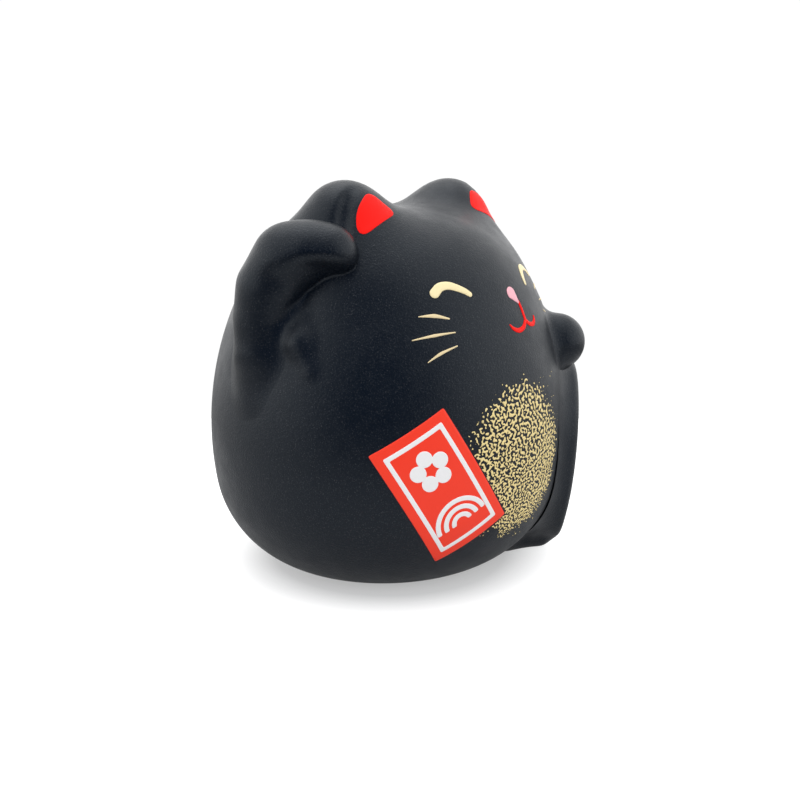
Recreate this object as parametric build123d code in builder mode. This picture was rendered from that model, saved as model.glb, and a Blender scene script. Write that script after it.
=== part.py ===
"""Beckoning cat figurine: a hollow slip-cast ceramic cat with a raised right arm and a coin plate.

Millimetres. The origin is the centre of the foot, on the surface that the cat stands on. +Z is up and
the cat faces -Y, so its right side is at -X and its left side at +X.
"""
import os
from math import asin, atan2, cos, degrees, radians, sin, sqrt

from build123d import *

# ---- driving dimensions -----------------------------------------------------------------------------
HEIGHT = 70.0  # floor to ear tips
WALL = 3.0  # thickness of the cast shell
VENT_RADIUS = 4.0  # round hole in the foot that lets air out in the kiln
DEPTH_RATIO = 0.95  # the body is a little less deep than it is wide

# The body's half section is three arcs, tangent to each other, to the foot and to the crown.
FOOT_RADIUS = 12.9
FOOT_ROUND = 20.35
FOOT_CENTRE_HEIGHT = 20.3
SIDE_ROUND = 55.0
CROWN_RADIUS = 4.5
CROWN_ROUND = 25.5
CROWN_CENTRE_HEIGHT = 40.0

# Each ear joins the hulls of its tip ball with a root ball and with a back ball. These are for the left
# ear, and the right one is its mirror image.
EAR_TIP_RADIUS = 7.1
EAR_TIP = Vector(14.7, -2.4, HEIGHT - EAR_TIP_RADIUS)
EAR_ROOT_RADIUS = 11.1
EAR_ROOT = Vector(12.5, -4.2, 52.2)
EAR_BACK_RADIUS = 6.5
EAR_BACK = Vector(19.0, 3.5, 55.4)

# The arms: a centre and a radius at each joint, from inside the body out to the paw.
BECKONING_ARM = [
    (Vector(-28.4, 3.4, 35.6), 3.9),
    (Vector(-29.0, 3.0, 43.5), 4.4),
    (Vector(-28.4, 2.0, 52.0), 5.0),
    (Vector(-26.8, -2.0, 57.6), 5.4),
    (Vector(-24.4, -7.8, 59.1), 4.5),
]
HOLDING_ARM = [
    (Vector(21.5, -9.0, 37.5), 6.0),
    (Vector(18.3, -24.7, 41.0), 5.2),
]
JOINT_STEP = 0.15  # how much wider every second stretch of an arm ends, so that no two balls coincide

# The coin plate stands on its edge against the belly, under the left paw.
PLATE_AZIMUTH = 40.9  # degrees round from the cat's front towards its left side
PLATE_LEAN = 3.6  # degrees that the top of the plate leans away from the belly
PLATE_CENTRE = Vector(22.5, -24.8, 19.5)
PLATE_HALF_WIDTH = 10.0
PLATE_HALF_HEIGHT = 17.4
PLATE_THICKNESS = 6.0
PLATE_EDGE_ROUND = 1.0

FILM = 0.15  # thickness of a colour or gold transfer
TOP_FILM = 0.25  # outer level of a second transfer that lies on the first
REACH = 6.0  # how far a transfer's outline is carried each way, to meet the curved surface

# ---- shared geometry --------------------------------------------------------------------------------


def side_arc_centre():
    """Centre of the body's side arc, which touches the foot arc and the crown arc from inside."""
    foot = Vector(FOOT_RADIUS, FOOT_CENTRE_HEIGHT)
    crown = Vector(CROWN_RADIUS, CROWN_CENTRE_HEIGHT)
    to_foot = SIDE_ROUND - FOOT_ROUND
    to_crown = SIDE_ROUND - CROWN_ROUND
    span = crown - foot
    along = (to_foot**2 - to_crown**2 + span.length**2) / (2 * span.length)
    away = sqrt(to_foot**2 - along**2)
    unit = span.normalized()
    return foot + unit * along + Vector(-unit.Y, unit.X) * away


SIDE_CENTRE = side_arc_centre()
FOOT_ANGLE = degrees(atan2(FOOT_CENTRE_HEIGHT - SIDE_CENTRE.Y, FOOT_RADIUS - SIDE_CENTRE.X))
CROWN_ANGLE = degrees(atan2(CROWN_CENTRE_HEIGHT - SIDE_CENTRE.Y, CROWN_RADIUS - SIDE_CENTRE.X))


def body_form(grow):
    """The body without ears or arms, as a solid, with its whole surface moved out by grow."""
    with BuildPart() as form:
        with BuildSketch(Plane.XZ):
            with BuildLine():
                bottom = FOOT_CENTRE_HEIGHT - FOOT_ROUND - grow
                foot_line = Line((0, bottom), (FOOT_RADIUS, bottom))
                CenterArc(
                    (FOOT_RADIUS, FOOT_CENTRE_HEIGHT), FOOT_ROUND + grow, -90, FOOT_ANGLE + 90
                )
                CenterArc(SIDE_CENTRE, SIDE_ROUND + grow, FOOT_ANGLE, CROWN_ANGLE - FOOT_ANGLE)
                CenterArc(
                    (CROWN_RADIUS, CROWN_CENTRE_HEIGHT), CROWN_ROUND + grow, CROWN_ANGLE, 90 - CROWN_ANGLE
                )
                top = CROWN_CENTRE_HEIGHT + CROWN_ROUND + grow
                Line((CROWN_RADIUS, top), (0, top))
                Line((0, top), foot_line @ 0)
            make_face()
        revolve(axis=Axis.Z)
        scale(by=(1, DEPTH_RATIO, 1))
    return form.part


def round_cone(start, start_radius, end, end_radius):
    """The hull of two balls."""
    length = (end - start).length
    tilt = degrees(asin((start_radius - end_radius) / length))
    along = (end - start).normalized()
    outwards = along.cross(Vector(0, 1, 0)).normalized()
    with BuildPart() as cone:
        with BuildSketch(Plane(origin=start, x_dir=outwards, z_dir=outwards.cross(along))):
            with BuildLine():
                low = CenterArc((0, 0), start_radius, -90, 90 + tilt)
                high = CenterArc((0, length), end_radius, tilt, 90 - tilt)
                Line(low @ 1, high @ 0)
                Line(high @ 1, low @ 0)
            make_face()
        revolve(axis=Axis(start, along))
    return cone.part


def limb(joints):
    """One arm: the hulls of each joint's ball with the next joint's ball."""
    with BuildPart() as arm:
        for index, ((start, start_radius), (end, end_radius)) in enumerate(zip(joints, joints[1:])):
            add(round_cone(start, start_radius, end, end_radius + JOINT_STEP * (index % 2)))
    return arm.part


def ear_form(side, grow):
    """One ear, with its surface moved out by grow. Side is 1 for the left ear and -1 for the right."""
    root = Vector(side * EAR_ROOT.X, EAR_ROOT.Y, EAR_ROOT.Z)
    back = Vector(side * EAR_BACK.X, EAR_BACK.Y, EAR_BACK.Z)
    tip = Vector(side * EAR_TIP.X, EAR_TIP.Y, EAR_TIP.Z)
    with BuildPart() as ear:
        add(round_cone(root, EAR_ROOT_RADIUS + grow, tip, EAR_TIP_RADIUS + grow))
        add(round_cone(back, EAR_BACK_RADIUS + grow, tip, EAR_TIP_RADIUS + grow))
    return ear.part


def body_radius(height):
    """Radius of the body at a height, and how fast the radius grows with height."""
    if height < SIDE_CENTRE.Y + SIDE_ROUND * sin(radians(FOOT_ANGLE)):
        centre, radius = (FOOT_RADIUS, FOOT_CENTRE_HEIGHT), FOOT_ROUND
    else:
        centre, radius = (SIDE_CENTRE.X, SIDE_CENTRE.Y), SIDE_ROUND
    rise = height - centre[1]
    run = sqrt(radius**2 - rise**2)
    return centre[0] + run, -rise / run


def front_plane(x, height):
    """Plane that touches the front of the body at x and height. Its X runs level, to the cat's left."""
    radius, slope = body_radius(height)
    y = -DEPTH_RATIO * sqrt(radius**2 - x**2)
    normal = Vector(x, y / DEPTH_RATIO**2, -radius * slope)
    return Plane(origin=(x, y, height), x_dir=(-normal.Y, normal.X, 0), z_dir=normal)


def transfer(outline, plane, under, over):
    """A thin film that follows the surface of the solid under, out to the surface of the solid over."""
    with BuildPart() as film:
        with BuildSketch(plane):
            add(outline)
        extrude(amount=REACH, both=True)
        add(over, mode=Mode.INTERSECT)
        add(under, mode=Mode.SUBTRACT)
    return film.part


def stroke(start, middle, end, width):
    """A round-ended brush stroke through three points."""
    return SlotArc(ThreePointArc(start, middle, end), width, mode=Mode.PRIVATE)


def save(name, part):
    part.label = name
    export_step(part, f"parts/{name}.step")


os.makedirs("parts", exist_ok=True)
BODY = body_form(0)
BODY_FILM = body_form(FILM)
BODY_TOP_FILM = body_form(TOP_FILM)
EARS = {"right": ear_form(-1, 0), "left": ear_form(1, 0)}

# ---- castings ---------------------------------------------------------------------------------------

with BuildPart() as body_shell:
    add(BODY)
    for ear in EARS.values():
        add(ear)
    add(body_form(-WALL), mode=Mode.SUBTRACT)
    with BuildSketch(Plane.XY):
        Circle(VENT_RADIUS)
    extrude(amount=WALL, mode=Mode.SUBTRACT)
    split(bisect_by=Plane.XY, keep=Keep.TOP)
save("body_shell", body_shell.part)

with BuildPart() as beckoning_arm:
    add(limb(BECKONING_ARM))
    add(BODY, mode=Mode.SUBTRACT)
    add(EARS["right"], mode=Mode.SUBTRACT)
save("beckoning_arm", beckoning_arm.part)

plate_outwards = Vector(0, -cos(radians(PLATE_LEAN)), -sin(radians(PLATE_LEAN)))
plate_face = Plane(
    origin=PLATE_CENTRE,
    x_dir=Vector(1, 0, 0).rotate(Axis.Z, PLATE_AZIMUTH),
    z_dir=plate_outwards.rotate(Axis.Z, PLATE_AZIMUTH),
)
with BuildPart() as koban_plate:
    with BuildSketch(plate_face):
        Ellipse(PLATE_HALF_WIDTH, PLATE_HALF_HEIGHT)
    extrude(amount=-PLATE_THICKNESS)
    fillet(koban_plate.edges(), PLATE_EDGE_ROUND)
    add(BODY, mode=Mode.SUBTRACT)
save("koban_plate", koban_plate.part)

with BuildPart() as holding_arm:
    add(limb(HOLDING_ARM))
    add(BODY, mode=Mode.SUBTRACT)
    add(koban_plate.part, mode=Mode.SUBTRACT)
save("holding_arm", holding_arm.part)

# ---- gold on the coin plate -------------------------------------------------------------------------
BORDER_INSET = 1.6
BORDER_WIDTH = 0.8
PETAL_COUNT = 5
PETAL_RADIUS = 1.5
PETAL_RING_RADIUS = 2.3

with BuildPart() as koban_border:
    with BuildSketch(plate_face):
        Ellipse(PLATE_HALF_WIDTH - BORDER_INSET, PLATE_HALF_HEIGHT - BORDER_INSET)
        inner_inset = BORDER_INSET + BORDER_WIDTH
        Ellipse(PLATE_HALF_WIDTH - inner_inset, PLATE_HALF_HEIGHT - inner_inset, mode=Mode.SUBTRACT)
    extrude(amount=FILM)
save("koban_border", koban_border.part)

with BuildPart() as koban_motif:
    with BuildSketch(plate_face):
        with PolarLocations(PETAL_RING_RADIUS, PETAL_COUNT, start_angle=90):
            Circle(PETAL_RADIUS)
        Circle(PETAL_RADIUS / 2, mode=Mode.SUBTRACT)
    extrude(amount=FILM)
save("koban_motif", koban_motif.part)

# ---- ears -------------------------------------------------------------------------------------------
EAR_PATCH_CENTRE = Vector(15.9, -9.8, 65.0)
EAR_PATCH_NORMAL = Vector(0.26, -0.80, 0.55)
EAR_PATCH_CORNERS = [(5.0, 0.3), (0.5, 4.5), (-3.6, 0.3), (-3.7, -4.2)]  # for the right ear
EAR_PATCH_ROUND = 2.0

for name, side in (("right", -1), ("left", 1)):
    normal = Vector(side * EAR_PATCH_NORMAL.X, EAR_PATCH_NORMAL.Y, EAR_PATCH_NORMAL.Z)
    patch_plane = Plane(
        origin=(side * EAR_PATCH_CENTRE.X, EAR_PATCH_CENTRE.Y, EAR_PATCH_CENTRE.Z),
        x_dir=(-normal.Y, normal.X, 0),
        z_dir=normal,
    )
    with BuildSketch() as patch_outline:
        with BuildLine():
            Polyline(*[(-side * across, up) for across, up in EAR_PATCH_CORNERS], close=True)
        make_face()
        fillet(patch_outline.vertices(), EAR_PATCH_ROUND)
    with BuildPart() as ear_patch:
        add(transfer(patch_outline.sketch, patch_plane, EARS[name], ear_form(side, FILM)))
        add(BODY, mode=Mode.SUBTRACT)
    save(f"ear_patch_{name}", ear_patch.part)

# ---- face -------------------------------------------------------------------------------------------
EYE_WIDTH = 1.4
MOUTH_WIDTH = 0.7
WHISKER_WIDTH = 0.5
NOSE_RADIUS = 1.3
NOSE_TIP = (1.6, -2.1)

# Each stroke is a start, a middle and an end, on the plane that touches the body at x and height.
EYES = [
    ("right", -12.2, 53.2, [(-2.6, -0.5), (0.3, 0.55), (3.7, -0.9)]),
    ("left", 10.7, 54.1, [(-3.6, -1.2), (-0.4, 1.0), (2.6, -0.5)]),
]
for name, x, height, path in EYES:
    save(f"eye_{name}", transfer(stroke(*path, EYE_WIDTH), front_plane(x, height), BODY, BODY_FILM))

with BuildSketch() as nose_outline:
    with Locations((0.6, -0.3)):
        Circle(NOSE_RADIUS)
    with BuildLine():
        Polyline((-0.4, -1.1), (1.7, 0.3), NOSE_TIP, close=True)
    make_face()
save("nose", transfer(nose_outline.sketch, front_plane(0.2, 51.8), BODY, BODY_FILM))

LIP_SPLIT = (1.45, -0.2)
with BuildSketch() as mouth_outline:
    add(stroke((1.25, 2.9), (1.4, 1.4), LIP_SPLIT, MOUTH_WIDTH))
    add(stroke(LIP_SPLIT, (-0.9, -1.6), (-3.2, -0.8), MOUTH_WIDTH))
    add(stroke(LIP_SPLIT, (3.3, -1.15), (4.8, -0.2), MOUTH_WIDTH))
save("mouth", transfer(mouth_outline.sketch, front_plane(0.8, 47.3), BODY, BODY_FILM))

# Each whisker runs from its outer end to its inner end, as seen on the cat's right cheek.
WHISKERS = [
    ((-2.0, 3.35), (0.5, 3.35), (2.9, 2.8)),
    ((-3.5, -0.4), (0.1, 0.15), (3.7, 0.55)),
    ((-1.3, -4.0), (0.9, -2.75), (3.8, -1.65)),
]
for name, side, x, height, spread in (("right", -1, -17.2, 46.2, 1.0), ("left", 1, 15.8, 48.8, 0.9)):
    with BuildSketch() as whisker_outline:
        for whisker in WHISKERS:
            path = [(-side * across * spread, up * spread) for across, up in whisker]
            add(stroke(*path, WHISKER_WIDTH))
    with BuildPart() as whiskers:
        add(transfer(whisker_outline.sketch, front_plane(x, height), BODY, BODY_FILM))
        add(holding_arm.part, mode=Mode.SUBTRACT)
    save(f"whiskers_{name}", whiskers.part)

# ---- label on the belly's right side ----------------------------------------------------------------
LABEL_WIDTH = 14.1
LABEL_HEIGHT = 23.2
LABEL_TILT = 31.5  # degrees that the label is turned, anticlockwise seen from its front
FRAME_INSET = 1.5
FRAME_WIDTH = 0.7
BLOSSOM_HEIGHT = 4.4
BLOSSOM_RING_RADIUS = 2.2
BLOSSOM_PETAL_RADIUS = 1.4
BLOSSOM_HOLE_RADIUS = 0.7
WAVE_CENTRE_HEIGHT = -6.8
WAVE_RADII = (1.5, 2.9, 4.3)
WAVE_WIDTH = 0.8

level_plane = front_plane(-18.7, 21.65)
label_across = level_plane.x_dir * cos(radians(LABEL_TILT)) + level_plane.y_dir * sin(radians(LABEL_TILT))
label_plane = Plane(origin=level_plane.origin, x_dir=label_across, z_dir=level_plane.z_dir)
with BuildSketch() as label_outline:
    Rectangle(LABEL_WIDTH, LABEL_HEIGHT)
save("label_panel", transfer(label_outline.sketch, label_plane, BODY, BODY_FILM))

with BuildSketch() as frame_outline:
    Rectangle(LABEL_WIDTH - 2 * FRAME_INSET, LABEL_HEIGHT - 2 * FRAME_INSET)
    frame_inner_inset = FRAME_INSET + FRAME_WIDTH
    Rectangle(
        LABEL_WIDTH - 2 * frame_inner_inset, LABEL_HEIGHT - 2 * frame_inner_inset, mode=Mode.SUBTRACT
    )
save("label_frame", transfer(frame_outline.sketch, label_plane, BODY_FILM, BODY_TOP_FILM))

with BuildSketch() as blossom_outline:
    with Locations((0, BLOSSOM_HEIGHT)):
        with PolarLocations(BLOSSOM_RING_RADIUS, PETAL_COUNT, start_angle=90):
            Circle(BLOSSOM_PETAL_RADIUS)
        Circle(BLOSSOM_HOLE_RADIUS, mode=Mode.SUBTRACT)
save("label_blossom", transfer(blossom_outline.sketch, label_plane, BODY_FILM, BODY_TOP_FILM))

with BuildSketch() as wave_outline:
    for radius in WAVE_RADII:
        arc_centre = Vector(0, WAVE_CENTRE_HEIGHT)
        ends = [arc_centre + Vector(radius, 0).rotate(Axis.Z, angle) for angle in (10, 90, 170)]
        add(stroke(*ends, WAVE_WIDTH))
save("label_wave", transfer(wave_outline.sketch, label_plane, BODY_FILM, BODY_TOP_FILM))

# ---- gold flakes on the belly -----------------------------------------------------------------------
GOLD_HALF_WIDTH = 12.6
GOLD_HALF_HEIGHT = 14.4
LABEL_GAP = 0.2

with BuildPart() as label_clearance:
    with BuildSketch(label_plane):
        Rectangle(LABEL_WIDTH + 2 * LABEL_GAP, LABEL_HEIGHT + 2 * LABEL_GAP)
    extrude(amount=REACH, both=True)
with BuildSketch() as gold_outline:
    Ellipse(GOLD_HALF_WIDTH, GOLD_HALF_HEIGHT)
with BuildPart() as belly_gold_patch:
    add(transfer(gold_outline.sketch, front_plane(-3.8, 24.3), BODY, BODY_FILM))
    add(label_clearance.part, mode=Mode.SUBTRACT)
save("belly_gold_patch", belly_gold_patch.part)
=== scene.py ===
"""Looks of the beckoning cat figurine: smooth castings, painted marks and printed transfers.

Every shape is worked out in millimetres, from the frame's node boxes and the sizes named below, and is
turned into metres when its mesh is made. The cat faces -Y and its raised right arm is at -X.
"""

from math import cos, pi, radians, sin, sqrt

import bpy
import numpy as np
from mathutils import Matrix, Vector


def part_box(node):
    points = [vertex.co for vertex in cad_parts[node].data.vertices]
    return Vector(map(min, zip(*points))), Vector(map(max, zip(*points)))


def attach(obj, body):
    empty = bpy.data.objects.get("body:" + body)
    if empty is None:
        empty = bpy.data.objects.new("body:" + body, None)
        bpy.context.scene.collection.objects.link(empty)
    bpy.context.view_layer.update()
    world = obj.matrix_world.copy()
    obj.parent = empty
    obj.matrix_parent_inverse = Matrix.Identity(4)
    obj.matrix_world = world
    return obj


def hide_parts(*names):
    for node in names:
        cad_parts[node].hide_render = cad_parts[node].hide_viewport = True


MM = 0.001
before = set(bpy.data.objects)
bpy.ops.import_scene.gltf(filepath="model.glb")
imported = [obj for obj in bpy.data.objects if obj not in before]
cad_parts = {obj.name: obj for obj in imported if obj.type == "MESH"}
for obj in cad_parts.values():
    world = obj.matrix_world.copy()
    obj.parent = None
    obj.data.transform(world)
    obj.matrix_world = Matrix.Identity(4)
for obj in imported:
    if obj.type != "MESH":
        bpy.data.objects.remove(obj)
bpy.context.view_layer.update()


def box_mm(node):
    """Lowest and highest corner of a CAD node, in millimetres."""
    low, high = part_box(node)
    return np.array(low) / MM, np.array(high) / MM


def unit(vector):
    return np.asarray(vector, float) / np.linalg.norm(vector)


# ---- sizes ------------------------------------------------------------------------------------------
shell_low, shell_high = box_mm("body_shell")
HEIGHT = shell_high[2]
DEPTH_RATIO = 0.95  # the body is a little less deep than it is wide

# The body's half section is three arcs, tangent to each other, to the foot and to the crown.
FOOT_RADIUS, FOOT_ROUND = 12.9, 20.35
FOOT_CENTRE_HEIGHT = 20.3
SIDE_ROUND = 55.0
CROWN_RADIUS, CROWN_ROUND = 4.5, 25.5
CROWN_CENTRE_HEIGHT = 40.0
WALL = 3.0
VENT_RADIUS = 4.0

# Each ear joins the hulls of its tip ball with a root ball and with a back ball. These are for the left
# ear, and the right one is its mirror image.
EAR_TIP_RADIUS = 7.1
EAR_TIP = np.array([14.7, -2.4, HEIGHT - EAR_TIP_RADIUS])
EAR_ROOT_RADIUS = 11.1
EAR_ROOT = np.array([12.5, -4.2, 52.2])
EAR_BACK = np.array([19.0, 3.5, 55.4])
EAR_BACK_RADIUS = 6.5
EAR_SEAM = 1.0  # width of the fillet between an ear's two hulls
EAR_BLEND = 6.0  # width of the fillet between an ear and the head

# The arms: a centre and a radius at each joint, from inside the body out to the paw.
RAISED_ARM = [
    (np.array([-28.4, 3.4, 35.6]), 3.9),
    (np.array([-29.1, 3.1, 42.6]), 4.3),
    (np.array([-28.8, 2.9, 48.2]), 4.6),
    (np.array([-28.4, 1.8, 53.2]), 5.0),
    (np.array([-26.9, -1.3, 57.6]), 5.6),
    (np.array([-25.9, -5.0, 58.5]), 5.1),
    (np.array([-24.5, -7.7, 59.0]), 4.5),
]
ARM_BLEND, PAW_BLEND = 3.0, 0.4  # fillets between the body and the sleeve, and the body and the paw
PAW_BLEND_HEIGHT = 50.0  # the height where the one gives way to the other
PAW_BLEND_SPAN = 6.0
JOINT_BLEND = 2.5
WRIST = 4  # which joint of the raised arm the paw hangs from
UNDERSIDE = np.array([-0.45, -0.356, -0.819])  # the way the flat underside of the raised paw faces
UNDERSIDE_DEPTH = 3.2  # from the middle of the paw to its underside
UNDERSIDE_ROUND = 1.2

HOLDING_PAW_RADIUS = 5.2
holding_low, holding_high = box_mm("holding_arm")
HOLDING_PAW = np.array([18.3, holding_low[1] + HOLDING_PAW_RADIUS, holding_high[2] - HOLDING_PAW_RADIUS])
HOLDING_ARM = [
    (np.array([21.5, -9.0, 37.5]), 6.0),
    (HOLDING_PAW, HOLDING_PAW_RADIUS),
]
HOLDING_BLEND = 2.5

# The coin plate stands against the belly, under the left paw, on a heel of black glaze. The heel fills the
# dark wedge of contact shadow under the plate: a painted shadow made as a solid.
PLATE_AZIMUTH = radians(40.9)  # round from the cat's front towards its left side
PLATE_LEAN = radians(3.6)  # how far the top of the plate leans away from the belly
PLATE_CENTRE = np.array([22.5, -24.8, 19.5])
PLATE_HALF_WIDTH, PLATE_HALF_HEIGHT = 10.0, 17.4
PLATE_THICKNESS = 6.0
PLATE_EDGE_ROUND = 1.0
SHADOW_HEEL = (np.array([15.0, -17.3, 3.3]), np.array([19.8, -20.9, 3.3]))
SHADOW_HEEL_RADIUS, SHADOW_HEEL_BLEND = 3.3, 1.5
PLATE_BLEND = 5.0

EMBED = 1.0  # how far a cast-on piece reaches into the body
FEATHER = 0.04  # how far a fillet's thin edge dips below the body, so that it meets it cleanly

# A soft fold beside the raised arm, and a groove on the outer side of each ear.
FOLD = [
    (np.array([-27.1, -3.7, 48.9]), 1.3),
    (np.array([-28.7, -5.1, 44.8]), 1.9),
    (np.array([-29.3, -7.8, 40.7]), 1.1),
]
FOLD_BLEND = 1.6
EAR_GROOVE = [
    (np.array([17.4, -6.15, 69.0]), 0.5),
    (np.array([19.3, -7.0, 67.3]), 0.7),
    (np.array([20.7, -7.4, 64.9]), 0.95),
    (np.array([21.3, -7.6, 62.4]), 1.1),
]
GROOVE_BLEND = 0.8

# ---- distance functions -----------------------------------------------------------------------------
# Each takes an array of points, one row each, and gives the distance to a surface, negative inside it.


def smooth_min(a, b, width):
    """The smaller of two distances, with a fillet about width wide where they meet."""
    share = np.clip(0.5 + 0.5 * (b - a) / width, 0, 1)
    return b * (1 - share) + a * share - width * share * (1 - share)


def smooth_max(a, b, width):
    return -smooth_min(-a, -b, width)


def round_cone(points, start, end, start_radius, end_radius):
    """The hull of two balls."""
    axis = end - start
    length2 = axis @ axis
    taper = start_radius - end_radius
    across2 = length2 - taper * taper
    offset = points - start
    along = offset @ axis
    beyond = along - length2
    radial2 = ((offset * length2 - np.outer(along, axis)) ** 2).sum(1)
    along2 = along * along * length2
    beyond2 = beyond * beyond * length2
    limit = np.sign(taper) * taper * taper * radial2
    side = (np.sqrt(radial2 * across2 / length2) + along * taper) / length2 - start_radius
    at_end = np.sqrt(radial2 + beyond2) / length2 - end_radius
    at_start = np.sqrt(radial2 + along2) / length2 - start_radius
    past_end = np.sign(beyond) * across2 * beyond2 > limit
    before_start = np.sign(along) * across2 * along2 < limit
    return np.where(past_end, at_end, np.where(before_start, at_start, side))


def side_arc_centre():
    """Centre of the body's side arc, which touches the foot arc and the crown arc from inside."""
    foot = np.array([FOOT_RADIUS, FOOT_CENTRE_HEIGHT])
    crown = np.array([CROWN_RADIUS, CROWN_CENTRE_HEIGHT])
    to_foot = SIDE_ROUND - FOOT_ROUND
    to_crown = SIDE_ROUND - CROWN_ROUND
    span = crown - foot
    length = np.linalg.norm(span)
    along = (to_foot**2 - to_crown**2 + length**2) / (2 * length)
    away = sqrt(to_foot**2 - along**2)
    direction = span / length
    return foot + direction * along + np.array([-direction[1], direction[0]]) * away


SIDE_CENTRE = side_arc_centre()


def torso(points):
    """The egg-shaped body, from the foot to the crown."""
    radius = np.hypot(points[:, 0], points[:, 1] / DEPTH_RATIO)
    height = points[:, 2]
    across, up = radius - SIDE_CENTRE[0], height - SIDE_CENTRE[1]
    foot = np.array([FOOT_RADIUS, FOOT_CENTRE_HEIGHT]) - SIDE_CENTRE
    crown = np.array([CROWN_RADIUS, CROWN_CENTRE_HEIGHT]) - SIDE_CENTRE
    below_side = foot[0] * up - foot[1] * across < 0
    above_side = across * crown[1] - up * crown[0] < 0
    side = np.hypot(across, up) - SIDE_ROUND
    foot_arc = np.hypot(np.maximum(radius - FOOT_RADIUS, 0), height - FOOT_CENTRE_HEIGHT) - FOOT_ROUND
    crown_arc = np.hypot(np.maximum(radius - CROWN_RADIUS, 0), height - CROWN_CENTRE_HEIGHT) - CROWN_ROUND
    return np.where(below_side, foot_arc, np.where(above_side, crown_arc, side)) * sqrt(DEPTH_RATIO)


def limb(points, joints):
    """A chain of ball hulls, smoothed where they meet."""
    distance = None
    for (start, start_radius), (end, end_radius) in zip(joints, joints[1:]):
        stretch = round_cone(points, start, end, start_radius, end_radius)
        distance = stretch if distance is None else smooth_min(distance, stretch, JOINT_BLEND)
    return distance


def casting(points):
    """The outside of the main casting: body, head and ears."""
    mirrored = points * [0, 1, 1] + np.abs(points) * [1, 0, 0]
    ear_front = round_cone(mirrored, EAR_ROOT, EAR_TIP, EAR_ROOT_RADIUS, EAR_TIP_RADIUS)
    ear_back = round_cone(mirrored, EAR_BACK, EAR_TIP, EAR_BACK_RADIUS, EAR_TIP_RADIUS)
    body = smooth_min(torso(points), smooth_min(ear_front, ear_back, EAR_SEAM), EAR_BLEND)
    body = smooth_min(body, limb(points, FOLD), FOLD_BLEND)
    return smooth_max(body, -limb(mirrored, EAR_GROOVE), GROOVE_BLEND)


def raised_arm(points):
    """The raised arm, with a flat underside on its paw."""
    sleeve = limb(points, RAISED_ARM[: WRIST + 1])
    paw = limb(points, RAISED_ARM[WRIST:])
    underside = (points - RAISED_ARM[-1][0]) @ UNDERSIDE - UNDERSIDE_DEPTH
    return smooth_min(sleeve, smooth_max(paw, underside, UNDERSIDE_ROUND), JOINT_BLEND)


def holding_arm(points):
    return limb(points, HOLDING_ARM)


def ellipse(across, up, half_width, half_height):
    """About the distance to an ellipse."""
    reach = np.hypot(across / half_width, up / half_height)
    slope = np.hypot(across / half_width**2, up / half_height**2)
    return reach * (reach - 1) / np.maximum(slope, 1e-6)


PLATE_ACROSS = np.array([cos(PLATE_AZIMUTH), sin(PLATE_AZIMUTH), 0])
PLATE_OUT = np.array(
    [sin(PLATE_AZIMUTH) * cos(PLATE_LEAN), -cos(PLATE_AZIMUTH) * cos(PLATE_LEAN), -sin(PLATE_LEAN)]
)
PLATE_UP = np.cross(PLATE_OUT, PLATE_ACROSS)


def plate(points):
    """The oval coin plate, with a rounded edge."""
    offset = points - PLATE_CENTRE
    across, up, out = offset @ PLATE_ACROSS, offset @ PLATE_UP, offset @ PLATE_OUT
    oval = ellipse(across, up, PLATE_HALF_WIDTH, PLATE_HALF_HEIGHT)
    slab = np.abs(out + PLATE_THICKNESS / 2) - PLATE_THICKNESS / 2
    edge = np.maximum(oval + PLATE_EDGE_ROUND, 0)
    face = np.maximum(slab + PLATE_EDGE_ROUND, 0)
    inside = np.minimum(np.maximum(oval, slab) + PLATE_EDGE_ROUND, 0)
    return np.hypot(edge, face) + inside - PLATE_EDGE_ROUND


def plate_and_shadow_heel(points):
    """The coin plate, with the heel on which it stands: a black solid that stands in for the contact
    shadow under the plate.
    """
    return smooth_min(plate(points), round_cone(points, *SHADOW_HEEL, SHADOW_HEEL_RADIUS, SHADOW_HEEL_RADIUS), SHADOW_HEEL_BLEND)


def hollow_casting(points):
    """The main casting with its hollow and its vent hole."""
    cavity = torso(points) + WALL
    vent = np.maximum(np.hypot(points[:, 0], points[:, 1]) - VENT_RADIUS, points[:, 2] - 2 * WALL)
    foot = -points[:, 2]
    return np.maximum.reduce([casting(points), -cavity, -vent, foot])


def arm_blend(points):
    """Width of the fillet along the raised arm: wide at the sleeve, and a sharp crease under the paw."""
    share = np.clip((points[:, 2] - PAW_BLEND_HEIGHT) / PAW_BLEND_SPAN + 0.5, 0, 1)
    return ARM_BLEND + (PAW_BLEND - ARM_BLEND) * share


def cast_on(shape, blend):
    """A piece stuck to the main casting with a fillet of slip: only what stands on the casting."""

    def distance(points):
        body = casting(points)
        own = shape(points)
        width = blend(points) if callable(blend) else blend
        joined = smooth_min(body + FEATHER, own, width)
        return np.maximum.reduce([joined, own - width - FEATHER, -body - EMBED, -points[:, 2]])

    return distance


# ---- meshes -----------------------------------------------------------------------------------------


def gradient(distance, points, reach=0.02):
    slopes = np.empty_like(points)
    for axis in range(3):
        step = np.zeros(3)
        step[axis] = reach
        slopes[:, axis] = (distance(points + step) - distance(points - step)) / (2 * reach)
    return slopes


def settle(distance, points, rounds=3, limit=0.4):
    """Moves points on to the surface where the distance is zero."""
    for _ in range(rounds):
        slopes = gradient(distance, points)
        steepness2 = np.maximum((slopes**2).sum(1), 0.05)
        move = slopes * (distance(points) / steepness2)[:, None]
        length = np.linalg.norm(move, axis=1, keepdims=True)
        points = points - move * np.minimum(1, limit / np.maximum(length, 1e-9))
    return points


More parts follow.
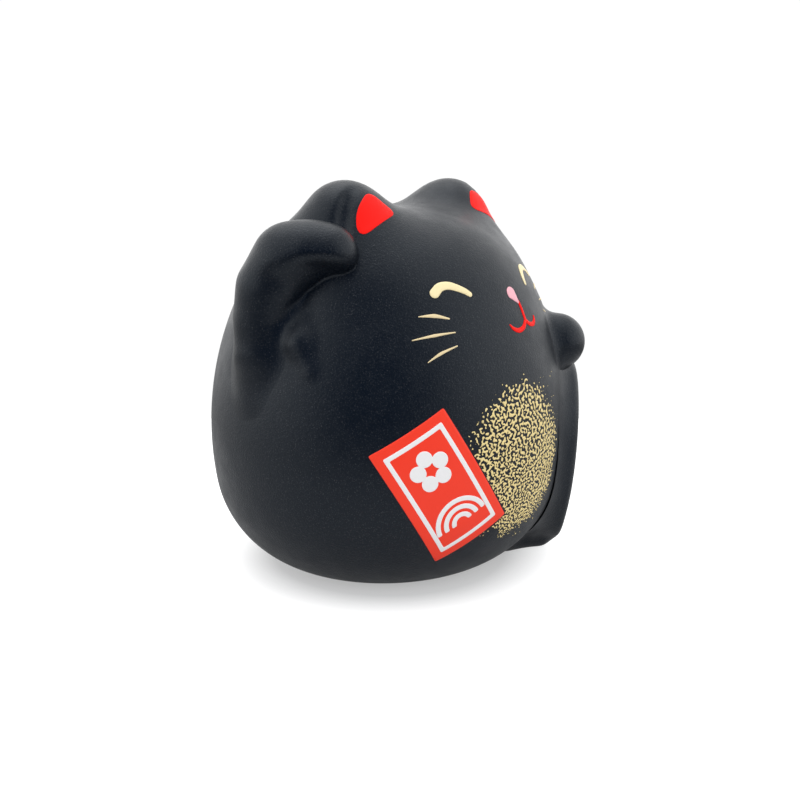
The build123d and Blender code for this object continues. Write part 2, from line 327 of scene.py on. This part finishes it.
def surface_net(distance, low, high, step):
    """Points and four-sided faces of the surface where the distance is zero, on a grid of cells."""
    axes = [np.arange(low[i] - 2 * step, high[i] + 2 * step, step) for i in range(3)]
    shape = tuple(len(axis) for axis in axes)
    values = np.empty(shape)
    across, up = np.meshgrid(axes[1], axes[2], indexing="ij")
    for index, x in enumerate(axes[0]):
        layer = np.stack([np.full(across.size, x), across.ravel(), up.ravel()], 1)
        values[index] = distance(layer).reshape(across.shape)
    inside = values < 0
    corners = [(i, j, k) for i in (0, 1) for j in (0, 1) for k in (0, 1)]
    size = tuple(n - 1 for n in shape)

    def shifted(array, corner):
        return array[tuple(slice(c, c + n) for c, n in zip(corner, size))]

    count = sum(shifted(inside, corner).astype(int) for corner in corners)
    active = (count > 0) & (count < 8)
    total = np.zeros((active.sum(), 3))
    crossings = np.zeros(active.sum())
    for first in corners:
        for axis in range(3):
            if first[axis]:
                continue
            second = tuple(c + (i == axis) for i, c in enumerate(first))
            a, b = shifted(values, first)[active], shifted(values, second)[active]
            crosses = (a < 0) != (b < 0)
            share = np.where(crosses, a / np.where(crosses, a - b, 1), 0)
            point = np.array(first, float) + np.outer(share, np.eye(3)[axis])
            total += point * crosses[:, None]
            crossings += crosses
    cells = np.argwhere(active)
    points = (cells + total / crossings[:, None]) * step + [axis[0] for axis in axes]
    number = np.full(size, -1)
    number[active] = np.arange(len(cells))
    faces = []
    for axis in range(3):
        one, two = [i for i in range(3) if i != axis]
        here = [slice(1, n) for n in size]
        here[axis] = slice(0, size[axis])
        ahead = list(here)
        ahead[axis] = slice(1, size[axis] + 1)
        before, after = inside[tuple(here)], inside[tuple(ahead)]
        where = np.argwhere(before != after)
        outward = before[tuple(where.T)] ^ (axis == 1)
        where = where + [int(i != axis) for i in range(3)]
        ring = []
        for back_one, back_two in ((0, 0), (1, 0), (1, 1), (0, 1)):
            cell = where.copy()
            cell[:, one] -= back_one
            cell[:, two] -= back_two
            ring.append(number[tuple(cell.T)])
        ring = np.stack(ring, 1)
        ring[~outward] = ring[~outward][:, ::-1]
        faces.append(ring)
    return points, np.concatenate(faces)


def make_piece(name, points, faces, material, node):
    """A mesh object that rides on the body and stands for a CAD node."""
    mesh = bpy.data.meshes.new(name)
    mesh.from_pydata((points * MM).tolist(), [], [list(face) for face in faces])
    mesh.polygons.foreach_set("use_smooth", [True] * len(mesh.polygons))
    mesh.materials.append(material)
    mesh.update()
    piece = bpy.data.objects.new(name, mesh)
    bpy.context.scene.collection.objects.link(piece)
    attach(piece, "root")
    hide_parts(node)
    return piece


def cast_piece(name, distance, step, material, node, margin):
    """The surface of a distance function inside a node's box and a margin round it."""
    low, high = box_mm(node)
    points, faces = surface_net(distance, low - margin, high + margin, step)
    return make_piece(name, settle(distance, points), faces.tolist(), material, node)


# ---- painted and printed marks ----------------------------------------------------------------------
# A mark is drawn on a flat sheet, in millimetres, as a field that is negative inside it. Its outline is
# then laid on the curved surface as a thin film with a rounded edge.


def front_point(x, height):
    """The point on the front of the body at x and height."""
    low, high = -60.0, 0.0
    for _ in range(40):
        y = (low + high) / 2
        if torso(np.array([[x, y, height]]))[0] > 0:
            low = y
        else:
            high = y
    return np.array([x, high, height])


class Sheet:
    """A flat drawing plane that touches a surface. Its across direction runs level, to the cat's left."""

    def __init__(self, near, surface, turn=0.0):
        point = settle(surface, np.array([near], float), rounds=12, limit=2.0)
        self.surface = surface
        self.origin = point[0]
        self.out = unit(gradient(surface, point)[0])
        level = unit(np.cross([0, 0, 1], self.out))
        rise = np.cross(self.out, level)
        self.across = level * cos(turn) + rise * sin(turn)
        self.up = np.cross(self.out, self.across)

    def flatten(self, points):
        """Where points lie on the sheet, seen straight on."""
        offset = points - self.origin
        return np.stack([offset @ self.across, offset @ self.up], 1)

    def lay(self, flat, start=8.0):
        """Carries flat points straight in to the surface. Gives the points there and the normals."""
        points = self.origin + np.outer(flat[:, 0], self.across) + np.outer(flat[:, 1], self.up)
        points = points + self.out * start
        for _ in range(40):
            points = points - np.outer(np.clip(self.surface(points), -1, 4) * 0.9, self.out)
        slopes = gradient(self.surface, points)
        return points, slopes / np.linalg.norm(slopes, axis=1, keepdims=True)


def outline_faces(field, low, high, step):
    """Flat points, their field values and the faces that fill the field's inside, on a square grid."""
    xs = np.arange(low[0], high[0] + step, step)
    ys = np.arange(low[1], high[1] + step, step)
    grid = np.stack(np.meshgrid(xs, ys, indexing="ij"), -1)
    values = field(grid.reshape(-1, 2)).reshape(grid.shape[:2])
    values = np.where(np.abs(values) < 1e-4, -1e-4, values)
    inside = values < 0
    touched = inside[:-1, :-1] | inside[1:, :-1] | inside[:-1, 1:] | inside[1:, 1:]
    points, numbers, faces = [], {}, []

    def number(key, point):
        if key not in numbers:
            numbers[key] = len(points)
            points.append(point)
        return numbers[key]

    for i, j in np.argwhere(touched):
        ring = ((i, j), (i + 1, j), (i + 1, j + 1), (i, j + 1))
        face = []
        for a, b in zip(ring, ring[1:] + ring[:1]):
            if inside[a]:
                face.append(number(a, grid[a]))
            if inside[a] != inside[b]:
                share = values[a] / (values[a] - values[b])
                point = grid[a] + (grid[b] - grid[a]) * share
                face.append(number((min(a, b), max(a, b)), point))
        faces.append(face)
    points = np.array(points)
    return points, field(points), faces


def film(name, sheet, field, low, high, step, thickness, material, lift=0.0, edge=0.2, node=None):
    """A closed thin film, from just under the surface to its thickness, thinner at its edge."""
    flat, depth, faces = outline_faces(field, low, high, step)
    points, normals = sheet.lay(flat)
    rise = thickness * (0.25 + 0.75 * np.sqrt(np.clip(-depth / edge, 0, 1)))
    top = points + normals * (lift + rise)[:, None]
    bottom = points + normals * (lift - 0.05)
    count = len(flat)
    sides = {}
    for face in faces:
        for a, b in zip(face, face[1:] + face[:1]):
            if (b, a) in sides:
                del sides[b, a]
            else:
                sides[a, b] = True
    walls = [[b, a, a + count, b + count] for a, b in sides]
    floor = [[index + count for index in reversed(face)] for face in faces]
    return make_piece(
        name, np.concatenate([top, bottom]), faces + floor + walls, material, node or name
    )


def stroke(points, path, widths):
    """Distance to a brush stroke along a path of flat points, with a half width at each."""
    distance = np.full(len(points), 1e3)
    for (a, b), (wide, next_wide) in zip(zip(path, path[1:]), zip(widths, widths[1:])):
        a, b = np.array(a, float), np.array(b, float)
        share = np.clip((points - a) @ (b - a) / ((b - a) @ (b - a)), 0, 1)
        away = np.linalg.norm(points - a - np.outer(share, b - a), axis=1)
        distance = np.minimum(distance, away - wide - (next_wide - wide) * share)
    return distance


def curve(path, pieces=8):
    """A smooth curve through flat points. Gives its points and how far along the path each one is."""
    path = np.array(path, float)
    padded = np.concatenate([[2 * path[0] - path[1]], path, [2 * path[-1] - path[-2]]])
    points = []
    for before, start, end, after in zip(padded, padded[1:], padded[2:], padded[3:]):
        for t in np.arange(pieces) / pieces:
            bow = 2 * before - 5 * start + 4 * end - after
            twist = 3 * start - before - 3 * end + after
            points.append(start + (end - before) * t / 2 + bow * t**2 / 2 + twist * t**3 / 2)
    points.append(path[-1])
    return np.array(points), np.linspace(0, len(path) - 1, len(points))


def brush(points, path, widths):
    """A brush stroke along a smooth curve, with a half width at each of the path's points."""
    line, along = curve(path)
    return stroke(points, line, np.interp(along, np.arange(len(path)), widths))


# ---- materials --------------------------------------------------------------------------------------


def map_range(tree, value, start, end, to_start=0.0, to_end=1.0):
    """A node that carries a value from one range to another."""
    node = tree.nodes.new("ShaderNodeMapRange")
    levels = {"From Min": start, "From Max": end, "To Min": to_start, "To Max": to_end}
    for name, level in levels.items():
        node.inputs[name].default_value = level
    tree.links.new(value, node.inputs["Value"])
    return node


def colour_mix(tree, factor, a, b):
    """A node that mixes two colours."""
    node = tree.nodes.new("ShaderNodeMix")
    node.data_type = "RGBA"
    for name, colour in (("A", a), ("B", b)):
        node.inputs[name].default_value = (*colour, 1)
    tree.links.new(factor, node.inputs["Factor"])
    return node


SHINE_SIZE = 3.0  # millimetres between shinier and duller places
SPECK_SIZE = 0.17


def material(
    name, colour, roughness, variation=0.1, specular=0.5, grain=(0.3, 0.01), waves=(2.0, 0.01), tint=0.1,
    gloss_tint=(1, 1, 1), specks=0.0,
):
    """A paint or glaze with a fine grain and slower waves: each is a size and a depth in millimetres."""
    made = bpy.data.materials.new(name)
    made.use_nodes = True
    tree = made.node_tree
    nodes, links = tree.nodes, tree.links
    shader = nodes["Principled BSDF"]
    shader.inputs["Specular IOR Level"].default_value = specular
    shader.inputs["Specular Tint"].default_value = (*gloss_tint, 1)
    place = nodes.new("ShaderNodeTexCoord")

    def noise(size_mm, detail):
        texture = nodes.new("ShaderNodeTexNoise")
        texture.inputs["Scale"].default_value = 1 / (size_mm * MM)
        texture.inputs["Detail"].default_value = detail
        links.new(place.outputs["Object"], texture.inputs["Vector"])
        return texture.outputs["Fac"]

    def bump(height, depth_mm, under=None):
        node = nodes.new("ShaderNodeBump")
        node.inputs["Distance"].default_value = depth_mm * MM
        links.new(height, node.inputs["Height"])
        if under:
            links.new(under, node.inputs["Normal"])
        return node.outputs["Normal"]

    slow = bump(noise(waves[0], 2), waves[1])
    fine_noise = noise(grain[0], 3)
    links.new(bump(fine_noise, grain[1], slow), shader.inputs["Normal"])
    shine = map_range(tree, noise(SHINE_SIZE, 4), 0.3, 0.7, roughness - variation, roughness + variation)
    links.new(shine.outputs["Result"], shader.inputs["Roughness"])

    darker = [c * (1 - tint) for c in colour]
    lighter = [min(c * (1 + tint), 1) for c in colour]
    shade = colour_mix(tree, fine_noise, darker, lighter)
    if specks:
        dust = map_range(tree, noise(SPECK_SIZE, 1), 0.6, 0.72, 0.0, specks)
        dusted = colour_mix(tree, dust.outputs["Result"], (0, 0, 0), (1, 1, 1))
        links.new(shade.outputs["Result"], dusted.inputs["A"])
        shade = dusted
    links.new(shade.outputs["Result"], shader.inputs["Base Color"])
    return made


def paint(name, colour, roughness, specular, grain=(0.25, 0.012), tint=0.04):
    return material(name, colour, roughness, specular=specular, grain=grain, tint=tint)


def transfer(name, colour, roughness):
    return material(name, colour, roughness, specular=0.3, grain=(0.2, 0.006), tint=0.03)


black_glaze = material(
    "black_glaze", (0.002, 0.004, 0.008), 0.37, variation=0.05, specular=0.36,
    grain=(0.32, 0.06), waves=(3.0, 0.03), tint=0.3, gloss_tint=(0.84, 0.92, 1.0), specks=0.03,
)
red_enamel = paint("red_enamel_paint", (0.95, 0.01, 0.006), 0.5, 0.12)
pink_enamel = paint("pink_enamel_paint", (0.93, 0.46, 0.52), 0.5, 0.3)
pale_gold = paint("pale_gold_paint", (0.93, 0.78, 0.44), 0.4, 0.6, grain=(0.25, 0.02), tint=0.08)
tan_gold = paint("tan_gold_paint", (0.82, 0.66, 0.38), 0.45, 0.5, grain=(0.2, 0.015), tint=0.1)
gold_print = paint("gold_flakes", (0.92, 0.69, 0.30), 0.4, 0.6, grain=(0.4, 0.01), tint=0.2)
red_print = transfer("red_transfer", (0.95, 0.05, 0.022), 0.45)
white_print = transfer("white_transfer", (0.88, 0.87, 0.86), 0.5)

# ---- castings ---------------------------------------------------------------------------------------

for name, shape, step, node, margin in (
    ("cat_body", hollow_casting, 0.7, "body_shell", 2.0),
    ("raised_arm", cast_on(raised_arm, arm_blend), 0.45, "beckoning_arm", 7.0),
    ("left_arm", cast_on(holding_arm, HOLDING_BLEND), 0.4, "holding_arm", 2.0),
    ("coin_plate", cast_on(plate_and_shadow_heel, PLATE_BLEND), 0.4, "koban_plate", 2.0),
):
    cast_piece(name, shape, step, black_glaze, node, margin)

# ---- face -------------------------------------------------------------------------------------------
# Each mark is drawn on a sheet that touches the front of the head. The paths run from the cat's right.
EYES = {
    "eye_right": (
        (-12.2, 53.2),
        [(-2.6, -0.55), (-1.45, 0.42), (0.1, 0.6), (1.7, 0.1), (3.0, -0.5), (3.75, -1.0)],
        [0.82, 0.76, 0.7, 0.62, 0.54, 0.45],
    ),
    "eye_left": (
        (10.7, 54.1),
        [(-3.7, -1.6), (-3.1, -0.4), (-1.6, 0.85), (0.2, 1.05), (1.7, 0.4), (2.7, -0.6)],
        [0.4, 0.55, 0.66, 0.66, 0.6, 0.5],
    ),
}
for name, (place, path, widths) in EYES.items():
    film(
        "painted_" + name, Sheet(front_point(*place), casting), lambda p: brush(p, path, widths),
        (-5, -3), (5, 3), 0.08, 0.14, pale_gold, node=name, edge=0.35,
    )


def nose_field(points):
    return stroke(points, [(0.6, -0.3), (1.6, -1.9)], [1.25, 0.3])


film(
    "painted_nose", Sheet(front_point(0.2, 51.8), casting), nose_field, (-2, -3), (3, 2), 0.06, 0.15,
    pink_enamel, node="nose", edge=0.5,
)


def mouth_field(points):
    lip = brush(points, [(1.25, 3.0), (1.4, 1.4), (1.42, -0.3)], [0.3, 0.34, 0.36])
    right_hook = brush(
        points, [(1.4, -0.3), (0.2, -1.35), (-1.5, -1.7), (-2.8, -1.2), (-3.4, -0.5)],
        [0.36, 0.4, 0.42, 0.32, 0.15],
    )
    left_hook = brush(
        points, [(1.5, -0.3), (2.6, -1.05), (3.9, -1.1), (4.7, -0.5), (5.0, 0.2)],
        [0.36, 0.4, 0.4, 0.3, 0.15],
    )
    return np.minimum.reduce([lip, right_hook, left_hook])


film(
    "painted_mouth", Sheet(front_point(0.8, 47.3), casting), mouth_field, (-4.5, -3), (6, 4), 0.07, 0.14,
    red_enamel, node="mouth", edge=0.3,
)

# The whiskers on the cat's right cheek, each from its outer end, with its greatest half width.
WHISKERS = [
    ([(-2.1, 3.35), (0.5, 3.35), (2.95, 2.82)], 0.34),
    ([(-3.6, -0.4), (0.1, 0.15), (3.7, 0.56)], 0.25),
    ([(-1.4, -4.05), (0.9, -2.75), (3.8, -1.65)], 0.25),
]


def whisker_field(side, spread):
    def field(points):
        own = points * [-side / spread, 1 / spread]
        strokes = [brush(own, path, [0.08, wide, wide * 0.4]) for path, wide in WHISKERS]
        return np.minimum.reduce(strokes) * spread

    return field


for side, name, place, spread in (
    (-1, "whiskers_right", (-17.2, 46.2), 1.0), (1, "whiskers_left", (15.8, 48.8), 0.9)
):
    film(
        "painted_" + name, Sheet(front_point(*place), casting), whisker_field(side, spread),
        (-5, -5.5), (5, 5.5), 0.07, 0.1, tan_gold, node=name,
    )

# ---- ears -------------------------------------------------------------------------------------------


def rounded_polygon(points, corners, radius):
    """Distance to a polygon whose corners are rounded, with the corners given anticlockwise."""
    distance = np.full(len(points), -1e3)
    for a, b in zip(corners, corners[1:] + corners[:1]):
        a, b = np.array(a, float), np.array(b, float)
        out = unit([(b - a)[1], -(b - a)[0]])
        distance = smooth_max(distance, (points - a) @ out, radius)
    return distance


EAR_PATCH = np.array([15.9, -9.8, 65.0])
EAR_PATCH_CORNERS = [(5.0, 0.3), (0.5, 4.5), (-3.6, 0.3), (-3.7, -4.2)]  # for the right ear
EAR_PATCH_ROUND = 2.0
for side, name in ((-1, "ear_patch_right"), (1, "ear_patch_left")):
    corners = [(-side * x, y) for x, y in EAR_PATCH_CORNERS]
    corners = corners if side < 0 else corners[::-1]
    film(
        name.replace("patch", "paint"), Sheet(EAR_PATCH * [side, 1, 1], casting),
        lambda p: rounded_polygon(p, corners, EAR_PATCH_ROUND), (-7, -7), (7, 7), 0.12, 0.12,
        red_enamel, node=name, edge=0.4,
    )

# ---- label ------------------------------------------------------------------------------------------
LABEL_TILT = radians(31.5)
LABEL_HALF = np.array([7.05, 11.6])
LABEL_PLACE = (-18.7, 21.65)
LABEL_CORNER = 0.25
FRAME_OUTER_INSET, FRAME_INNER_INSET = 1.55, 2.3
BLOSSOM_CENTRE = (0, 4.4)
WAVE_CENTRE = (0, -6.8)
WAVE_RADII = (1.5, 2.9, 4.3)
WAVE_HALF_WIDTH = 0.42
label_sheet = Sheet(front_point(*LABEL_PLACE), casting, LABEL_TILT)


def rectangle(points, half):
    """Distance to a rectangle with slightly rounded corners, given half its sides."""
    reach = np.abs(points) - half + LABEL_CORNER
    return np.linalg.norm(np.maximum(reach, 0), axis=1) + np.minimum(reach.max(1), 0) - LABEL_CORNER


def frame_field(points):
    outside = rectangle(points, LABEL_HALF - FRAME_OUTER_INSET)
    return np.maximum(outside, -rectangle(points, LABEL_HALF - FRAME_INNER_INSET))


def blossom(points, centre, ring, petal, hole):
    """Five round petals on a ring, around a round hole."""
    offset = points - centre
    angle = np.arctan2(offset[:, 1], offset[:, 0]) - pi / 2
    fold = (angle + pi / 5) % (2 * pi / 5) - pi / 5
    radius = np.linalg.norm(offset, axis=1)
    folded = np.stack([radius * np.cos(fold), radius * np.sin(fold)], 1)
    petals = np.linalg.norm(folded - [ring, 0], axis=1) - petal
    return np.maximum(petals, hole - radius)


def blossom_field(points):
    return blossom(points, BLOSSOM_CENTRE, ring=2.2, petal=1.35, hole=0.7)


def wave_field(points):
    offset = points - WAVE_CENTRE
    radius = np.linalg.norm(offset, axis=1)
    bands = np.minimum.reduce([np.abs(radius - r) for r in WAVE_RADII]) - WAVE_HALF_WIDTH
    return smooth_max(bands, -offset[:, 1], 0.3)


film(
    "label_sheet", label_sheet, lambda p: rectangle(p, LABEL_HALF), -LABEL_HALF - 0.3, LABEL_HALF + 0.3,
    0.2, 0.12, red_print, node="label_panel", edge=0.12,
)
for name, field in (
    ("label_frame", frame_field), ("label_blossom", blossom_field), ("label_wave", wave_field)
):
    film(
        name + "_print", label_sheet, field, -LABEL_HALF, LABEL_HALF, 0.1, 0.05, white_print,
        node=name, edge=0.1, lift=0.12,
    )

# ---- gold flakes on the belly -----------------------------------------------------------------------
FLAKE_STEP = 0.1
GOLD_HALF = np.array([13.0, 14.6])  # half sizes of the oval patch
RIM_START, RIM_SPAN = 0.72, 0.3  # where the flakes start to thin out, and over how much of the radius
LABEL_GAP = 0.15
gold_sheet = Sheet(front_point(-3.8, 24.3), casting)


def worm_noise(wavelength, seed):
    """A grid of smooth noise over the patch, whose lines are about a wavelength apart."""
    shape = tuple(np.ceil(2 * GOLD_HALF / FLAKE_STEP).astype(int) + 4)
    white = np.random.default_rng(seed).standard_normal(shape)
    across, up = [np.fft.fftfreq(count, FLAKE_STEP) for count in shape]
    frequency = np.hypot(across[:, None], up[None])
    band = np.exp(-(((frequency * wavelength - 1) / 0.5) ** 2))
    result = np.real(np.fft.ifft2(np.fft.fft2(white) * band))
    return result / result.std()


def sample(grid, points):
    """Values of a grid over the patch, at flat points."""
    place = (points + GOLD_HALF) / FLAKE_STEP
    cell = np.clip(np.floor(place).astype(int), 0, np.array(grid.shape) - 2)
    x, y = (place - cell).T
    i, j = cell.T
    low = grid[i, j] * (1 - x) + grid[i + 1, j] * x
    high = grid[i, j + 1] * (1 - x) + grid[i + 1, j + 1] * x
    return low * (1 - y) + high * y


COARSE, FINE, DRIFT = worm_noise(0.95, 7), worm_noise(0.6, 11), worm_noise(5.0, 3)


def flake_field(points):
    """Worm-like flakes: coarse and sparse above, fine and dense below, thinning out at the rim."""
    up = np.clip(points[:, 1] / GOLD_HALF[1] * 0.5 + 0.5, 0, 1)
    pattern = sample(COARSE, points) * np.sqrt(up) + sample(FINE, points) * np.sqrt(1 - up)
    rim = np.linalg.norm(points / GOLD_HALF, axis=1) + 0.04 * sample(DRIFT, points)
    threshold = 0.1 + 3.0 * np.clip((rim - RIM_START) / RIM_SPAN, 0, 1) ** 2
    on_label = label_sheet.flatten(gold_sheet.lay(points)[0])
    return np.maximum((threshold - pattern) * 0.15, LABEL_GAP - rectangle(on_label, LABEL_HALF))


film(
    "gold_flakes", gold_sheet, flake_field, -GOLD_HALF, GOLD_HALF, FLAKE_STEP, 0.07, gold_print,
    node="belly_gold_patch", edge=0.1,
)

# ---- gold on the coin plate -------------------------------------------------------------------------
BORDER_INSET, BORDER_WIDTH = 1.6, 0.8


def plate_on_belly(points):
    """The belly and the plate, with the fillet between them."""
    return smooth_min(casting(points) + FEATHER, plate(points), PLATE_BLEND)


plate_sheet = Sheet(PLATE_CENTRE, plate_on_belly)


def border_field(points):
    inset = BORDER_INSET + BORDER_WIDTH / 2
    line = ellipse(*points.T, PLATE_HALF_WIDTH - inset, PLATE_HALF_HEIGHT - inset)
    return np.abs(line) - BORDER_WIDTH / 2


plate_half = np.array([PLATE_HALF_WIDTH, PLATE_HALF_HEIGHT])
for name, field in (
    ("koban_border", border_field),
    ("koban_motif", lambda p: blossom(p, (0, 0), ring=2.3, petal=1.5, hole=0.75)),
):
    film(
        name + "_print", plate_sheet, field, -plate_half, plate_half, 0.12, 0.1, gold_print,
        node=name,
    )

# ---- floor, light and camera ------------------------------------------------------------------------
FLOOR_RADIUS = 0.12
FLOOR_CORNERS = 96
# Inside SHADOW_START the floor glows less: a painted contact shadow round the cat's foot, on top of the
# real shadow in the floor's diffuse light.
SHADOW_START, SHADOW_END = 0.022, 0.032  # how far from the middle the floor's glow grows to its full level
DIM_SIDE = (-0.76, -0.62, 0.17)  # the way from the cat to the dim side of the room


def make_floor():
    """A round white sheet under the cat, which glows a little so that shadows on it stay faint. Near the
    middle it glows less, which paints a contact shadow round the cat's foot.
    """
    mesh = bpy.data.meshes.new("studio_floor")
    angles = np.linspace(0, 2 * pi, FLOOR_CORNERS, endpoint=False)
    rim = np.stack([np.cos(angles), np.sin(angles), np.zeros(FLOOR_CORNERS)], 1) * FLOOR_RADIUS
    mesh.from_pydata(rim.tolist(), [], [list(range(FLOOR_CORNERS))])
    floor = bpy.data.objects.new("studio_floor", mesh)
    bpy.context.scene.collection.objects.link(floor)
    paper = bpy.data.materials.new("white_paper")
    paper.use_nodes = True
    tree = paper.node_tree
    nodes, links = tree.nodes, tree.links
    shader = nodes["Principled BSDF"]
    shader.inputs["Base Color"].default_value = (0.45, 0.45, 0.45, 1)
    shader.inputs["Roughness"].default_value = 0.8
    shader.inputs["Specular IOR Level"].default_value = 0.0
    shader.inputs["Emission Color"].default_value = (1, 1, 1, 1)
    place = nodes.new("ShaderNodeTexCoord")
    distance = nodes.new("ShaderNodeVectorMath")
    distance.operation = "LENGTH"
    links.new(place.outputs["Object"], distance.inputs[0])
    # The weaker glow near the middle is a painted contact shadow.
    glow_with_painted_shadow = map_range(tree, distance.outputs["Value"], SHADOW_START, SHADOW_END, 0.4, 0.86)
    seen = nodes.new("ShaderNodeLightPath")
    faint = map_range(tree, seen.outputs["Is Camera Ray"], 0.0, 1.0, 0.1, 1.0)
    links.new(glow_with_painted_shadow.outputs["Result"], faint.inputs["To Max"])
    links.new(faint.outputs["Result"], shader.inputs["Emission Strength"])
    mesh.materials.append(paper)


def area_light(name, place, target, size, power, shines=True):
    """A round lamp that faces a target. One that doesn't shine lights paint, but isn't reflected."""
    light = bpy.data.lights.new(name, "AREA")
    light.shape = "DISK"
    light.size = size
    light.energy = power
    lamp = bpy.data.objects.new(name, light)
    lamp.visible_glossy = shines
    lamp.location = place
    lamp.rotation_mode = "QUATERNION"
    lamp.rotation_quaternion = (Vector(target) - Vector(place)).to_track_quat("-Z", "Y")
    bpy.context.scene.collection.objects.link(lamp)


def make_world():
    """White walls and ceiling all round, with a dim, bluish room in front of the cat's right side."""
    world = bpy.data.worlds.new("studio")
    world.use_nodes = True
    bpy.context.scene.world = world
    tree = world.node_tree
    nodes, links = tree.nodes, tree.links
    direction = nodes.new("ShaderNodeTexCoord")
    towards = nodes.new("ShaderNodeVectorMath")
    towards.operation = "DOT_PRODUCT"
    towards.inputs[1].default_value = DIM_SIDE
    links.new(direction.outputs["Generated"], towards.inputs[0])
    fall = map_range(tree, towards.outputs["Value"], 0.45, 0.97)
    fall.interpolation_type = "SMOOTHSTEP"
    room = colour_mix(tree, fall.outputs["Result"], (1.4, 1.4, 1.4), (0.0, 0.04, 0.12))

    split = nodes.new("ShaderNodeSeparateXYZ")
    links.new(direction.outputs["Generated"], split.inputs["Vector"])
    height = map_range(tree, split.outputs["Z"], -1.0, 1.0)
    above = nodes.new("ShaderNodeValToRGB")
    ramp = above.color_ramp
    for place, level in ((0.37, 0.15), (0.52, 1.0), (0.7, 1.0)):
        ramp.elements.new(place).color = (level, level, level, 1)
    ramp.elements[0].color = (0.15, 0.15, 0.15, 1)
    ramp.elements[len(ramp.elements) - 1].color = (0.7, 0.7, 0.7, 1)
    links.new(height.outputs["Result"], above.inputs["Fac"])
    lit = nodes.new("ShaderNodeVectorMath")
    lit.operation = "SCALE"
    links.new(room.outputs["Result"], lit.inputs["Vector"])
    links.new(above.outputs["Color"], lit.inputs["Scale"])

    seen = nodes.new("ShaderNodeLightPath")
    shown = colour_mix(tree, seen.outputs["Is Camera Ray"], (1, 1, 1), (1.02, 1.02, 1.02))
    links.new(lit.outputs["Vector"], shown.inputs["A"])
    links.new(shown.outputs["Result"], nodes["Background"].inputs["Color"])


CAMERA_AZIMUTH, CAMERA_ELEVATION = radians(-51.6), radians(12.7)
CAMERA_DISTANCE = 196.2
CAMERA_LENS = 47.15
AIM_HEIGHT, AIM_ASIDE = 29.7, 2.0


def make_camera():
    azimuth, elevation = CAMERA_AZIMUTH, CAMERA_ELEVATION
    back = Vector((sin(azimuth) * cos(elevation), -cos(azimuth) * cos(elevation), sin(elevation)))
    right = Vector((cos(azimuth), sin(azimuth), 0))
    aim = right * AIM_ASIDE + Vector((0, 0, AIM_HEIGHT))
    camera_data = bpy.data.cameras.new("camera")
    camera_data.sensor_width = 36
    camera_data.lens = CAMERA_LENS
    camera_data.clip_start = 0.01
    camera = bpy.data.objects.new("camera", camera_data)
    camera.location = (aim + back * CAMERA_DISTANCE) * MM
    camera.rotation_mode = "QUATERNION"
    camera.rotation_quaternion = (-back).to_track_quat("-Z", "Y")
    bpy.context.scene.collection.objects.link(camera)
    bpy.context.scene.camera = camera


make_floor()
make_world()
area_light("overhead_softbox", (0.05, 0.1, 0.6), (0, 0, 0.03), 0.6, 1.0)
area_light("paint_fill", (-0.35, -0.3, 0.25), (0, 0, 0.03), 0.3, 1.1, shines=False)
make_camera()
bpy.context.scene.view_settings.view_transform = "Standard"
